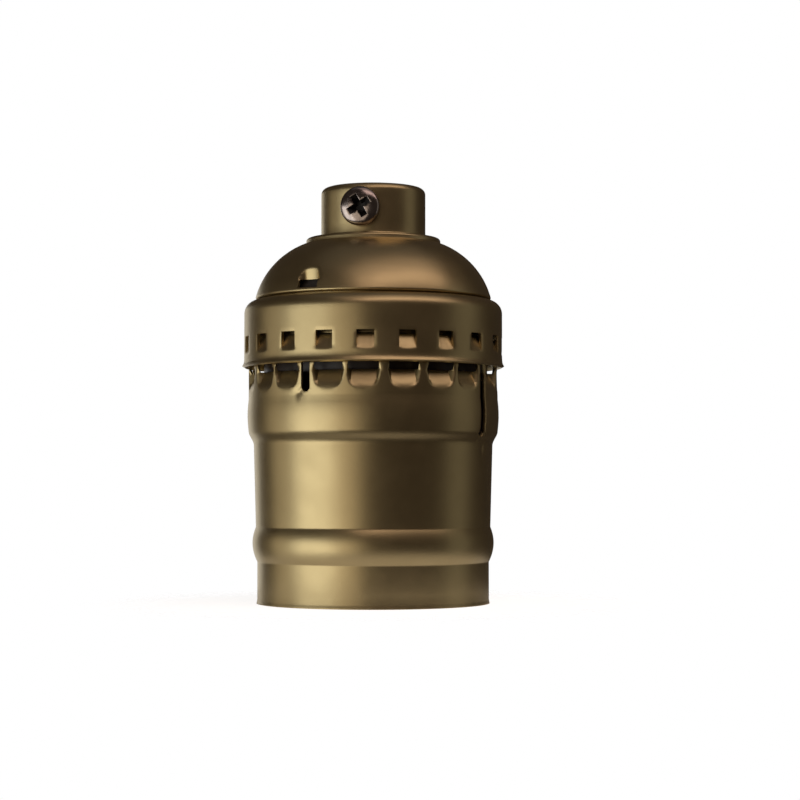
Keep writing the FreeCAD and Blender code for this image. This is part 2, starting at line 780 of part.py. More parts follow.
def rivet(name, x, y, foot, seat_top):
    """Rivet with its lower head's underside at foot and its upper head on seat_top."""
    body = new_body(name)
    sketch = radial_sketch(body, f"{name}_section")
    outline(sketch, [
        ("0", foot),
        ("rivet_head_radius", foot),
        ("rivet_head_radius", f"{foot} + rivet_head_height"),
        ("rivet_radius", f"{foot} + rivet_head_height"),
        ("rivet_radius", seat_top),
        ("rivet_head_radius", seat_top),
        ("rivet_head_radius", f"{seat_top} + rivet_head_height"),
        ("0", f"{seat_top} + rivet_head_height"),
    ])
    revolve(body, sketch, f"{name}_turned")
    place(body, x, y)
    return body


leaf_top = "(block_foot - disc_thickness - leaf_play)"
leaf_foot = f"({leaf_top} - leaf_thickness)"


def rivets():
    leaf_head_foot = f"({leaf_foot} - thread_gap - rivet_head_height)"
    pieces = [rivet("line_rivet", "-line_rivet_offset", "0", leaf_head_foot, strip_foot_top)]
    for name, x, y in shell_rivet_places():
        seat = strip_foot_top if name == "neutral_rivet" else "block_web_top"
        pieces.append(rivet(name, x, y, floor_head_foot, seat))
    return pieces


def insulating_disc():
    """Fibre disc in the screw shell's floor hole, behind the contact."""
    body = new_body("insulating_disc")
    sketch = level_sketch(body, "disc_outline", "block_foot - disc_thickness")
    circle(sketch, "0", "0", "floor_hole_radius - fit_gap")
    circle(sketch, "-line_rivet_offset", "0", rivet_hole)
    extrude(body, "Pad", sketch, "disc_cut", "disc_thickness")
    return body


def centre_contact():
    """Spring leaf riveted behind the lamp's centre contact, bent down to meet it."""
    body = new_body("centre_contact")
    sketch = radial_sketch(body, "leaf_section")
    tip = f"({leaf_foot} - leaf_drop)"
    outline(sketch, [
        ("-leaf_root", leaf_foot),
        ("-leaf_bend", leaf_foot),
        ("-leaf_tip", tip),
        ("leaf_tip", tip),
        ("leaf_end", f"{tip} + leaf_kick"),
        ("leaf_end", f"{tip} + leaf_kick + leaf_thickness"),
        ("leaf_tip", f"{tip} + leaf_thickness"),
        ("-leaf_tip", f"{tip} + leaf_thickness"),
        ("-leaf_bend", leaf_top),
        ("-leaf_root", leaf_top),
    ])
    extrude(body, "Pad", sketch, "leaf_bent", "leaf_width", both_ways=True)
    hole = level_sketch(body, "leaf_hole", leaf_top)
    circle(hole, "-line_rivet_offset", "0", "rivet_radius + fit_gap + thread_gap")
    extrude(body, "Pocket", hole, "leaf_hole_cut", "leaf_thickness")
    return body


def terminal(name, side, rivet_x):
    """Strip bent to a C: foot on the web, riser at the wall, tapped tab level with the floor."""
    body = new_body(name)
    sketch = radial_sketch(body, f"{name}_section")
    inner = f"{side}strip_inner"
    outer = f"{side}strip_outer"
    riser = f"{side}(strip_outer - strip_thickness)"
    tab_foot = "(block_floor - strip_thickness)"
    outline(sketch, [
        (inner, "block_web_top"), (outer, "block_web_top"), (outer, "block_floor"), (inner, "block_floor"),
        (inner, tab_foot), (riser, tab_foot), (riser, strip_foot_top), (inner, strip_foot_top),
    ])
    extrude(body, "Pad", sketch, f"{name}_bent", "strip_width", both_ways=True)
    tapped = level_sketch(body, f"{name}_tapped", "block_floor")
    circle(tapped, f"{side}screw_offset", "0", "terminal_screw_radius + thread_gap")
    extrude(body, "Pocket", tapped, f"{name}_tapped_cut", "strip_thickness")
    hole = level_sketch(body, f"{name}_rivet_hole", strip_foot_top)
    circle(hole, rivet_x, "0", rivet_hole)
    extrude(body, "Pocket", hole, f"{name}_rivet_hole_cut", "strip_thickness")
    return body


clamp_foot = "(block_floor + thread_gap)"
head_foot = f"({clamp_foot} + clamp_thickness + thread_gap)"


def clamp_plate(name, side):
    """Square plate under the terminal screw's head that holds the wire."""
    body = new_body(name)
    sketch = level_sketch(body, f"{name}_outline", "0")
    rectangle(sketch, "-clamp_size / 2", "-clamp_size / 2", "clamp_size / 2", "clamp_size / 2")
    circle(sketch, "0", "0", "terminal_screw_radius + fit_gap")
    extrude(body, "Pad", sketch, f"{name}_cut", "clamp_thickness")
    place(body, f"{side}screw_offset", "0", clamp_foot)
    return body


def terminal_screw(name, side):
    """Slotted terminal screw; local Z points out of the head."""
    body = new_body(name)
    sketch = radial_sketch(body, f"{name}_section")
    outline(sketch, [
        ("0", "-terminal_screw_length"),
        ("terminal_screw_radius - edge_break", "-terminal_screw_length"),
        ("terminal_screw_radius", "edge_break - terminal_screw_length"),
        ("terminal_screw_radius", "0"),
        ("terminal_head_radius", "0"),
        ("terminal_head_radius", "terminal_head_height - edge_break"),
        ("terminal_head_radius - edge_break", "terminal_head_height"),
        ("0", "terminal_head_height"),
    ])
    revolve(body, sketch, f"{name}_turned")
    slot = level_sketch(body, f"{name}_slot", "terminal_head_height")
    half = "terminal_slot_width / 2"
    reach = f"(terminal_head_radius + {overshoot})"
    rectangle(slot, f"-{reach}", f"-{half}", reach, half)
    extrude(body, "Pocket", slot, f"{name}_slot_cut", "terminal_slot_depth")
    place(body, f"{side}screw_offset", "0", head_foot)
    return body


def check_document():
    """Every feature must have built, without an error."""
    for item in doc.Objects:
        if "Invalid" in item.State or "Error" in item.State:
            raise RuntimeError(f"{item.Name}: {item.State}")


def write_parts(pieces):
    os.makedirs("parts", exist_ok=True)
    for piece in pieces:
        if piece.Shape.isNull() or not piece.Shape.isValid() or not piece.Shape.Solids:
            raise RuntimeError(f"{piece.Label} has no valid solid")
    for piece in pieces:
        piece.Shape.exportStep(f"parts/{piece.Label}.step")
        print(f"{piece.Label:22s} {len(piece.Shape.Solids)} solid, {piece.Shape.Volume:9.2f} mm3")


pieces = [
    outer_shell(),
    shell_liner(),
    cap(),
    cap_liner(),
    threaded_bush(),
    set_screw(),
    screw_shell(),
    terminal_block(),
    *rivets(),
    insulating_disc(),
    centre_contact(),
    terminal("line_terminal", "-", "-line_rivet_offset"),
    terminal("neutral_terminal", "", "rivet_circle"),
    clamp_plate("line_clamp_plate", "-"),
    clamp_plate("neutral_clamp_plate", ""),
    terminal_screw("line_terminal_screw", "-"),
    terminal_screw("neutral_terminal_screw", ""),
]
doc.recompute()
check_document()
write_parts(pieces)
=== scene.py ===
# Lamp holder: a drawn bronze shell and push-fit cap over a moulded block,
# with brass and nickelled fittings.
# Metres, +Z up the axis. Azimuths are in degrees from the front (-Y), growing towards +X.
# The pieces' dictionaries and profiles are in millimetres.
import bmesh
import bpy
import math
from mathutils import Matrix, Vector


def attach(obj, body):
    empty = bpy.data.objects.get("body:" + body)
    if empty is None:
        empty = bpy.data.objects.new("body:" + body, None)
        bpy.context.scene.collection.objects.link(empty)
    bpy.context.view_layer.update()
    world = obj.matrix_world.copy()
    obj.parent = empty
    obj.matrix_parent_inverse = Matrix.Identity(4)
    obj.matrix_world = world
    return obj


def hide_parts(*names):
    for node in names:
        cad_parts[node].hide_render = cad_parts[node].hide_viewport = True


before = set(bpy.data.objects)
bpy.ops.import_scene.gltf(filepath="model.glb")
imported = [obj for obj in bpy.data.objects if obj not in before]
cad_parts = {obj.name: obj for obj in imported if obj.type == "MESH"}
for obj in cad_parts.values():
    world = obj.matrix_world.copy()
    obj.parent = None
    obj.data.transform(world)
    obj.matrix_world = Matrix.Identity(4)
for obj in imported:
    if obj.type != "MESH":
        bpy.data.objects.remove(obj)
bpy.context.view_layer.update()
mm = 0.001
print("frame loaded")


# Materials
def linearColour(hexText):
    shades = [int(hexText[i:i + 2], 16) / 255 for i in (1, 3, 5)]
    return [s / 12.92 if s <= 0.04045 else ((s + 0.055) / 1.055) ** 2.4 for s in shades] + [1.0]


def addNode(tree, kind, inputs=None, **settings):
    node = tree.nodes.new("ShaderNode" + kind)
    for name, setting in settings.items():
        setattr(node, name, setting)
    for socket, source in (inputs or {}).items():
        if isinstance(source, bpy.types.NodeSocket):
            tree.links.new(source, node.inputs[socket])
        else:
            node.inputs[socket].default_value = source
    return node


def newMaterial(name):
    material = bpy.data.materials.new(name)
    material.use_nodes = True
    material.node_tree.nodes.clear()
    return material, material.node_tree


def perMetre(sizeMm):  # a noise scale whose grains are this many millimetres wide
    return 1 / (sizeMm * mm)


def blotchy(tree, place, sizeMm, detail, low, high):  # noise stretched between two levels
    noise = addNode(tree, "TexNoise", {"Vector": place, "Scale": perMetre(sizeMm), "Detail": detail})
    return addNode(tree, "MapRange", {"Value": noise.outputs[0], "From Min": 0.3, "From Max": 0.7,
                                      "To Min": low, "To Max": high}).outputs[0]


def surfaceMaterial(name, look):
    material, tree = newMaterial(name)
    place = addNode(tree, "TexCoord").outputs["Object"]
    mottle = blotchy(tree, place, look["mottleMm"], 3.0, 0.0, look["mottle"])
    blend = {0: mottle, 6: linearColour(look["colour"]), 7: linearColour(look["stain"])}
    colour = addNode(tree, "Mix", blend, data_type="RGBA").outputs[2]
    dull = blotchy(tree, place, look["smearMm"], 2.0, look["roughness"] - look["smear"],
                   look["roughness"] + look["smear"])
    grain = addNode(tree, "TexNoise", {"Vector": place, "Scale": perMetre(look["grainMm"]), "Detail": 2.0})
    bump = addNode(tree, "Bump", {"Height": grain.outputs[0], "Strength": look["grain"],
                                  "Distance": look["grainMm"] * mm * 0.2})
    shader = addNode(tree, "BsdfPrincipled", {"Base Color": colour, "Metallic": look["metallic"],
                                              "Roughness": dull, "Normal": bump.outputs[0]})
    addNode(tree, "OutputMaterial", {"Surface": shader.outputs[0]})
    return material


# Antique bronze plating under satin lacquer, on drawn sheet: soft wide highlights, fine blasted grain.
satinBronze = surfaceMaterial("satinLacqueredBronze", {
    "colour": "#C6B385", "stain": "#B5A176", "mottle": 0.35, "mottleMm": 5.0, "metallic": 1.0,
    "roughness": 0.36, "smear": 0.02, "smearMm": 3.0, "grain": 0.10, "grainMm": 0.35})
# Vulcanised fibre, pressed and punched: dull, dark, felted.
pressedFibre = surfaceMaterial("pressedVulcanisedFibre", {
    "colour": "#2C2925", "stain": "#45403A", "mottle": 0.8, "mottleMm": 0.9, "metallic": 0.0,
    "roughness": 0.85, "smear": 0.05, "smearMm": 1.0, "grain": 0.5, "grainMm": 0.25})
# Phenolic resin moulded with wood flour: dark, half glossy, faintly marbled.
mouldedPhenolic = surfaceMaterial("mouldedPhenolicResin", {
    "colour": "#241A15", "stain": "#33231B", "mottle": 0.7, "mottleMm": 1.6, "metallic": 0.0,
    "roughness": 0.42, "smear": 0.06, "smearMm": 2.0, "grain": 0.12, "grainMm": 0.5})
# Steel, turned and zinc plated: grey white with a faint blue cast.
zincedSteel = surfaceMaterial("zincPlatedTurnedSteel", {
    "colour": "#B9BABA", "stain": "#9A9C9F", "mottle": 0.6, "mottleMm": 1.4, "metallic": 1.0,
    "roughness": 0.32, "smear": 0.05, "smearMm": 0.8, "grain": 0.15, "grainMm": 0.2})
# Brass strip rolled and nickel plated: warm silver, bright.
nickelledBrass = surfaceMaterial("nickelPlatedRolledBrass", {
    "colour": "#C8C1B2", "stain": "#AFA794", "mottle": 0.5, "mottleMm": 2.0, "metallic": 1.0,
    "roughness": 0.24, "smear": 0.04, "smearMm": 1.5, "grain": 0.08, "grainMm": 0.25})
# Bare brass strip, punched and bent: yellow, lightly tarnished.
bareBrass = surfaceMaterial("barePunchedBrass", {
    "colour": "#D4B36A", "stain": "#A98444", "mottle": 0.6, "mottleMm": 1.2, "metallic": 1.0,
    "roughness": 0.28, "smear": 0.06, "smearMm": 1.0, "grain": 0.10, "grainMm": 0.2})
# Steel screw plated black nickel: warm grey and bright, with a faint darker stain.
blackNickel = surfaceMaterial("blackNickelPlatedSteel", {
    "colour": "#B7AAA3", "stain": "#8A7F7A", "mottle": 0.6, "mottleMm": 0.8, "metallic": 1.0,
    "roughness": 0.18, "smear": 0.05, "smearMm": 0.6, "grain": 0.10, "grainMm": 0.15})
# Painted shade: the screw's recess is coloured nearly black and dull for the shade deep inside it, with a
# little oil.
recessPaintedShade = surfaceMaterial("paintedShadeOilyRecess", {
    "colour": "#171412", "stain": "#241F1C", "mottle": 0.6, "mottleMm": 0.5, "metallic": 0.0,
    "roughness": 0.55, "smear": 0.1, "smearMm": 0.4, "grain": 0.2, "grainMm": 0.1})
print("materials made")


# Mesh helpers
def onAxis(radius, azimuth, height):  # millimetres and degrees to a point in metres
    turn = math.radians(azimuth)
    return Vector((radius * math.sin(turn), -radius * math.cos(turn), height)) * mm


def spread(stops, step):  # azimuths once round the axis: every stop, and even steps between them
    stops = sorted(set(round(stop % 360, 4) for stop in stops))
    columns = []
    for here, there in zip(stops, stops[1:] + [stops[0] + 360]):
        count = max(1, math.ceil((there - here) / step - 0.01))
        columns += [here + (there - here) * k / count for k in range(count)]
    return columns


def bands(start, *stops):  # heights from start to each (height, rows) stop in turn
    heights = [start]
    for stop, count in stops:
        heights += [start + (stop - start) * k / count for k in range(1, count + 1)]
        start = stop
    return heights


def angleGap(azimuth, centre):
    return (azimuth - centre + 180) % 360 - 180


def halfAngle(half, radius):
    return math.degrees(math.asin(half / radius))


def arcPoints(centreR, centreZ, radius, start, end, count):
    turns = [math.radians(start + (end - start) * k / count) for k in range(count + 1)]
    return [(centreR + radius * math.cos(t), centreZ + radius * math.sin(t)) for t in turns]


def gridSheet(bm, rowCount, columns, point, hole=None, closedRows=False):
    # rows of vertices round the axis, faces out; hole(row, azimuth in the middle of a face) leaves one out
    grid = [[bm.verts.new(point(row, azimuth)) for azimuth in columns] for row in range(rowCount)]
    for row in range(rowCount if closedRows else rowCount - 1):
        above = (row + 1) % rowCount
        for k, azimuth in enumerate(columns):
            following = (k + 1) % len(columns)
            middle = azimuth + angleGap(columns[following], azimuth) / 2
            if hole is None or not hole(row, middle):
                bm.faces.new((grid[row][k], grid[row][following], grid[above][following], grid[above][k]))
    return grid


def meshFrom(bm, name):
    mesh = bpy.data.meshes.new(name)
    bm.to_mesh(mesh)
    bm.free()
    return mesh


def placeObject(name, data):
    placed = bpy.data.objects.new(name, data)
    bpy.context.scene.collection.objects.link(placed)
    return placed


def newPiece(name, bm, material, body=None, node=None):
    loose = [v for v in bm.verts if not v.link_faces]
    bmesh.ops.delete(bm, geom=loose, context="VERTS")
    mesh = meshFrom(bm, name)
    mesh.materials.append(material)
    piece = placeObject(name, mesh)
    if body:
        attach(piece, body)
        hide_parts(node)
    return piece


def modify(piece, kind, **settings):
    modifier = piece.modifiers.new(kind.lower(), kind)
    for name, setting in settings.items():
        setattr(modifier, name, setting)


def settle(piece):  # turns the modifiers into mesh and shades it smooth between sharp edges
    sharpDegrees = 40
    depsgraph = bpy.context.evaluated_depsgraph_get()
    mesh = bpy.data.meshes.new_from_object(piece.evaluated_get(depsgraph))
    piece.modifiers.clear()
    piece.data = mesh
    for polygon in mesh.polygons:
        polygon.use_smooth = True
    mesh.set_sharp_from_angle(angle=math.radians(sharpDegrees))


def rodCutter(name, azimuth, height, radius, reach):  # a rod pointing out of the axis, to cut a hole with
    bm = bmesh.new()
    bmesh.ops.create_cone(bm, segments=40, radius1=radius * mm, radius2=radius * mm, depth=reach * mm,
                          cap_ends=True)
    outward = onAxis(1, azimuth, 0).normalized()
    turn = Vector((0, 0, 1)).rotation_difference(outward).to_matrix().to_4x4()
    bm.transform(Matrix.Translation(onAxis(reach / 2, azimuth, height)) @ turn)
    return placeObject(name, meshFrom(bm, name))


def cutWith(piece, cutter, **settings):
    modify(piece, "BOOLEAN", object=cutter, operation="DIFFERENCE", solver="EXACT", **settings)
    settle(piece)
    bpy.data.objects.remove(cutter)


def breakEdges(piece, width, degrees):  # a small bevel on every edge that turns by more than this
    modify(piece, "BEVEL", width=width * mm, segments=2, limit_method="ANGLE",
           angle_limit=math.radians(degrees))
    settle(piece)


# Outer shell
shell = {
    "wall": 0.5, "barrel": 17.66, "waist": 17.9, "shoulderFoot": 18.24, "upper": 19.05, "ring": 18.02,
    "rimFlare": 0.12, "rimHeight": 0.6, "barrelTop": 6.3, "beadTop": 11.6, "beadBulge": 0.62,
    "shoulder": (24.0, 26.2), "swellTop": 31.0, "swell": 0.16, "neckIn": (36.2, 37.6), "top": 41.0,
    "scoopDepth": 1.2, "scoopFoot": 32.3, "scoopTop": 34.8, "scoopHalf": 1.9, "scoopWall": 1.9,
    "scoopSoft": 0.35, "scoopBelow": 0.8, "scoopRound": 1.1, "scoopFootShare": 0.55,
    "slotHalf": 2.25, "slotTop": 36.9, "slitHalf": 0.75, "shortFoot": 31.6, "longFoot": 25.2,
    "slitEndReach": 1.2, "slitEndLift": 0.45, "firstSlit": -31.3, "scoopShift": 2.0, "edge": 0.08,
}
# dents: azimuth, height, half width in degrees, half height in mm, depth in mm
shellDents = [(63.0, 23.4, 1.8, 1.1, 0.14), (-34.6, 31.5, 2.2, 0.6, 0.2)]
dentFalloff = 1.5

scoopAzimuths = []
for quarter in range(4):
    for k in range(5):
        shift = {0: shell["scoopShift"], 4: -shell["scoopShift"]}.get(k, 0)
        scoopAzimuths.append(shell["firstSlit"] + quarter * 90 + (k + 0.5) * 18 + shift)
shortSlits = [shell["firstSlit"], shell["firstSlit"] + 180]
longSlits = [shell["firstSlit"] + 90, shell["firstSlit"] + 270]


def bulge(t):
    return 1 - (2 * t - 1) ** 2


def shellRadius(z):  # the turned form, before the scoops
    low, high = shell["shoulder"]
    if z <= shell["rimHeight"]:
        return shell["barrel"] + shell["rimFlare"] * (1 - z / shell["rimHeight"])
    if z <= shell["barrelTop"]:
        return shell["barrel"]
    if z <= shell["beadTop"]:
        t = (z - shell["barrelTop"]) / (shell["beadTop"] - shell["barrelTop"])
        return shell["barrel"] + (shell["waist"] - shell["barrel"]) * t + shell["beadBulge"] * bulge(t)
    if z <= low:
        rise = (z - shell["beadTop"]) / (low - shell["beadTop"])
        return shell["waist"] + (shell["shoulderFoot"] - shell["waist"]) * rise
    if z <= high:
        rise = (1 - math.cos(math.pi * (z - low) / (high - low))) / 2
        return shell["shoulderFoot"] + (shell["upper"] - shell["shoulderFoot"]) * rise
    if z <= shell["swellTop"]:
        return shell["upper"] + shell["swell"] * bulge((z - high) / (shell["swellTop"] - high))
    if z <= shell["neckIn"][0]:
        return shell["upper"]
    if z <= shell["neckIn"][1]:
        t = (z - shell["neckIn"][0]) / (shell["neckIn"][1] - shell["neckIn"][0])
        return shell["upper"] + (shell["ring"] - shell["upper"]) * t
    return shell["ring"]


def softMin(a, b, width):
    overlap = max(width - abs(a - b), 0) / width
    return min(a, b) - overlap * overlap * width / 4


def pressedRadius(azimuth, z, radius):  # the shell's radius where a slanted flat is pressed in below a slot
    if not shell["scoopFoot"] - shell["scoopBelow"] < z < shell["scoopTop"] + 0.001:
        return radius
    steepness = shell["scoopDepth"] / (shell["scoopTop"] - shell["scoopFoot"])
    for centre in scoopAzimuths:
        gap = math.radians(angleGap(azimuth, centre))
        side = abs(shell["upper"] * math.sin(gap))
        if side < shell["scoopHalf"] + 1 and math.cos(gap) > 0:
            flat = (shell["upper"] - steepness * (z - shell["scoopFoot"])) / math.cos(gap)
            rounding = max(0.0, 1 - (z - shell["scoopFoot"]) / shell["scoopRound"])
            widening = (1 - shell["scoopFootShare"]) * math.sqrt(max(0.0, 1 - rounding ** 2))
            half = shell["scoopHalf"] * (shell["scoopFootShare"] + widening)
            wall = max(0.0, side - half) * shell["scoopWall"]
            return softMin(radius, flat + wall, shell["scoopSoft"])
    return radius


crease = 0.2  # rows crowd this far to each side of the bead's ends
shellRows = bands(0, (shell["rimHeight"], 3), (shell["barrelTop"] - crease, 4),
                  (shell["barrelTop"] + crease, 3), (shell["beadTop"] - crease, 16),
                  (shell["beadTop"] + crease, 3), (shell["shoulder"][0] - 2, 4), (shell["longFoot"], 9),
                  (shell["shoulder"][1] + 0.4, 6), (shell["swellTop"], 5), (shell["shortFoot"], 2),
                  (shell["scoopTop"], 17),
                  (shell["neckIn"][0], 2), (shell["slotTop"], 2), (shell["neckIn"][1], 2),
                  (shell["top"], 2))


def shellPoint(row, azimuth):
    z = shellRows[row]
    radius = pressedRadius(azimuth, z, shellRadius(z))
    for centre, height, halfWide, halfHigh, depth in shellDents:
        spreadOut = (angleGap(azimuth, centre) / halfWide) ** 2 + ((z - height) / halfHigh) ** 2
        radius -= depth * math.exp(-dentFalloff * spreadOut)
    for foot, slits in ((shell["shortFoot"], shortSlits), (shell["longFoot"], longSlits)):
        for centre in slits:  # the slit's end is rounded
            across = abs(math.radians(angleGap(azimuth, centre)) * shell["upper"]) / shell["slitHalf"]
            if across < 2 and abs(z - foot) < shell["slitEndReach"]:
                lift = min(across, 2 - across) ** 4 * shell["slitEndLift"]
                z += lift * (1 - (abs(z - foot) / shell["slitEndReach"]) ** 2)
    return onAxis(radius, azimuth, z)


def shellHole(row, azimuth):
    z = (shellRows[row] + shellRows[row + 1]) / 2
    for centre in scoopAzimuths:
        if shell["scoopTop"] < z < shell["slotTop"] and abs(angleGap(azimuth, centre)) < slotHalfAngle:
            return True
    for foot, slits in ((shell["shortFoot"], shortSlits), (shell["longFoot"], longSlits)):
        if z > foot and min(abs(angleGap(azimuth, centre)) for centre in slits) < slitHalfAngle:
            return True
    return False


slotHalfAngle = halfAngle(shell["slotHalf"], shell["upper"])
slitHalfAngle = halfAngle(shell["slitHalf"], shell["upper"])
# columns crowd at the scoops' side walls
wallSteps = [slotHalfAngle * share for share in (0, 0.68, 0.76, 0.84, 0.92, 1, 1.07, 1.14)]
shellStops = [centre + side * step for centre in scoopAzimuths for step in wallSteps for side in (-1, 1)]
shellStops += [centre + side * slitHalfAngle for centre in shortSlits + longSlits for side in (-1, 0, 1)]
bm = bmesh.new()
gridSheet(bm, len(shellRows), spread(shellStops, 1.3), shellPoint, shellHole)
drawnShell = newPiece("drawnShell", bm, satinBronze, "shell", "outer_shell")
modify(drawnShell, "SOLIDIFY", thickness=shell["wall"] * mm, offset=-1)
breakEdges(drawnShell, shell["edge"], 60)
print("shell drawn", len(drawnShell.data.polygons))


# Cap
cap = {
    "wall": 0.5, "collar": 19.75, "foot": 36.1, "lipFlare": 0.3, "ledge": 46.1, "ledgeRound": 2.0,
    "fold": 16.9, "foldGap": 0.2, "dome": 12.06, "domeR": 6.37, "domeZ": 43.51, "domeFootRound": 0.3,
    "boss": 10.3, "bossRound": 0.4, "bossTop": 55.7, "neck": 8.0, "neckFillet": 0.4, "neckRound": 1.0,
    "neckLip": 0.8, "top": 63.5,
    "windowPhase": -3.3, "windowHalf": 1.3, "windowLow": 37.95, "windowHigh": 40.45,
    "tabHalf": 1.27, "tabLength": 2.35, "tabLeans": (20, 25, 27, 27, 27, 27, 27), "tabSoft": 0.45,
    "tabPress": 0.13,
    "lugAzimuth": -33, "lugHalf": 1.5, "lugSlotHalf": 1.65, "lugSlot": (46.9, 48.2), "lugTop": 50.0,
    "lugRadius": 17.2, "lugReach": 1.15, "lugArch": 0.9, "lugLean": 0.12, "lugSoft": 0.25, "archRows": 14,
    "screwHole": 2.05, "edge": 0.07,
}
# where the set screw goes in through the cap and the bush
screwAzimuth = -13
screwHeight = 59.7


def domeAngle(z):
    return math.degrees(math.asin((z - cap["domeZ"]) / cap["dome"]))


domeFoot = cap["ledge"] + cap["foldGap"]
domeSlotLow, domeSlotHigh = (domeAngle(z) for z in cap["lugSlot"])
domeTop = math.degrees(math.acos((cap["boss"] - cap["domeR"]) / cap["dome"]))
domeStart = domeAngle(domeFoot + cap["domeFootRound"])
domeStartR = cap["domeR"] + cap["dome"] * math.cos(math.radians(domeStart))
roundR = domeStartR - cap["domeFootRound"]
collarSlope = bands(37.3, (cap["windowLow"] - cap["tabSoft"], 1), (cap["windowLow"], 4),
                    (cap["windowHigh"], 5), (cap["ledge"] - cap["ledgeRound"], 6))
capProfile = [(cap["collar"] + cap["lipFlare"] * flare, z) for flare, z in
              ((1.0, cap["foot"]), (0.6, 36.3), (0.27, 36.54), (0.1, 36.82), (0.03, 37.1))]
capProfile += [(cap["collar"], z) for z in collarSlope]
windowRows = [k for k, (_, z) in enumerate(capProfile)
              if cap["windowLow"] - 0.01 < z < cap["windowHigh"] - 0.01]
tabRow = windowRows[0]
capProfile += arcPoints(cap["collar"] - cap["ledgeRound"], cap["ledge"] - cap["ledgeRound"],
                        cap["ledgeRound"], 0, 90, 12)[1:]
capProfile += [(17.3, cap["ledge"]), (cap["fold"] + 0.1, cap["ledge"]), (cap["fold"], cap["ledge"] + 0.06),
               (cap["fold"], domeFoot - 0.06), (cap["fold"] + 0.1, domeFoot), (17.4, domeFoot)]
capProfile += arcPoints(roundR, domeFoot + cap["domeFootRound"], cap["domeFootRound"], -90, 0, 4)
domeFirst = len(capProfile)
domeTurns = bands(domeStart, (domeSlotLow, 3), (domeSlotHigh, 5),
                  (domeAngle(cap["lugTop"] + 0.2), cap["archRows"]), (domeTop, 14))[1:]
capProfile += [(cap["domeR"] + cap["dome"] * math.cos(math.radians(t)),
                cap["domeZ"] + cap["dome"] * math.sin(math.radians(t))) for t in domeTurns]
slotRows = [domeFirst + k for k, t in enumerate(domeTurns) if domeSlotLow - 0.01 < t < domeSlotHigh - 0.01]
lugRows = [slotRows[-1] + 1 + k for k in range(cap["archRows"] + 1)]
capProfile += [(cap["boss"], cap["bossTop"] - cap["bossRound"])]
capProfile += arcPoints(cap["boss"] - cap["bossRound"], cap["bossTop"] - cap["bossRound"],
                        cap["bossRound"], 0, 90, 5)[1:]
capProfile += [(9.2, cap["bossTop"])]
capProfile += arcPoints(cap["neck"] + cap["neckFillet"], cap["bossTop"] + cap["neckFillet"],
                        cap["neckFillet"], -90, -180, 5)
capProfile += [(cap["neck"], z) for z in (57.5, 59.0, 60.5, 61.8)]
capProfile += arcPoints(cap["neck"] - cap["neckRound"], cap["top"] - cap["neckRound"],
                        cap["neckRound"], 0, 90, 8)
capProfile += [(cap["neck"] - cap["neckRound"] - cap["neckLip"] * k, cap["top"]) for k in (0.5, 1)]

windowAzimuths = [cap["windowPhase"] + 18 * k for k in range(20)]
lugAzimuths = [cap["lugAzimuth"], cap["lugAzimuth"] + 180]
windowHalfAngle = halfAngle(cap["windowHalf"], cap["collar"])
tabHalfAngle = halfAngle(cap["tabHalf"], cap["collar"])
lugSlotHalfAngle = halfAngle(cap["lugSlotHalf"], cap["lugRadius"])
lugHalfAngle = halfAngle(cap["lugHalf"], cap["lugRadius"])


def easeIn(t):  # 0 to 1, flat at 0
    return max(0.0, min(1.0, t)) ** 2


def fadeOut(t):  # 1 to 0, flat at both ends
    t = max(0.0, min(1.0, t))
    return 1 - t * t * (3 - 2 * t)


def capPoint(row, azimuth):
    radius, z = capProfile[row]
    if row <= tabRow:  # the collar starts to lean in just below each window
        across = min(abs(angleGap(azimuth, centre)) for centre in windowAzimuths)
        press = easeIn((z - (cap["windowLow"] - cap["tabSoft"])) / cap["tabSoft"])
        radius -= cap["tabPress"] * press * fadeOut((across - tabHalfAngle * 0.7) / (tabHalfAngle * 0.5))
    if row in lugRows:  # the dome stands upright over each slot, under an arch
        across = min(abs(angleGap(azimuth, centre)) for centre in lugAzimuths) / lugHalfAngle
        if across < cap["lugReach"]:
            drop = 1 - math.sqrt(max(0.0, 1 - (across / cap["lugReach"]) ** 2))
            arch = cap["lugTop"] - cap["lugArch"] * drop
            upright = cap["domeR"] + cap["dome"] * math.cos(math.radians(domeAngle(arch)))
            upright += cap["lugLean"] * (z - arch) + max(0.0, across - 0.85) * 1.6
            radius = softMin(radius, upright, cap["lugSoft"])
    return onAxis(radius, azimuth, z)


def capHole(row, azimuth):
    if row in windowRows:
        return min(abs(angleGap(azimuth, centre)) for centre in windowAzimuths) < windowHalfAngle
    if row in slotRows:
        return min(abs(angleGap(azimuth, centre)) for centre in lugAzimuths) < lugSlotHalfAngle
    return False


def pressTabs(bm, grid, columns, row, centres, half, path):
    # strips that grow from a row of the sheet inside each opening; path gives (inward, up) steps in mm
    for centre in centres:
        inside = [k for k, azimuth in enumerate(columns) if abs(angleGap(azimuth, centre)) < half + 0.01]
        inside.sort(key=lambda k: angleGap(columns[k], centre))
        outward = onAxis(1, centre, 0).normalized()
        last = [grid[row][k] for k in inside]
        for inward, up in path:
            current = [bm.verts.new(v.co - outward * inward * mm + Vector((0, 0, up * mm))) for v in last]
            for k in range(len(inside) - 1):
                bm.faces.new((last[k], last[k + 1], current[k + 1], current[k]))
            last = current


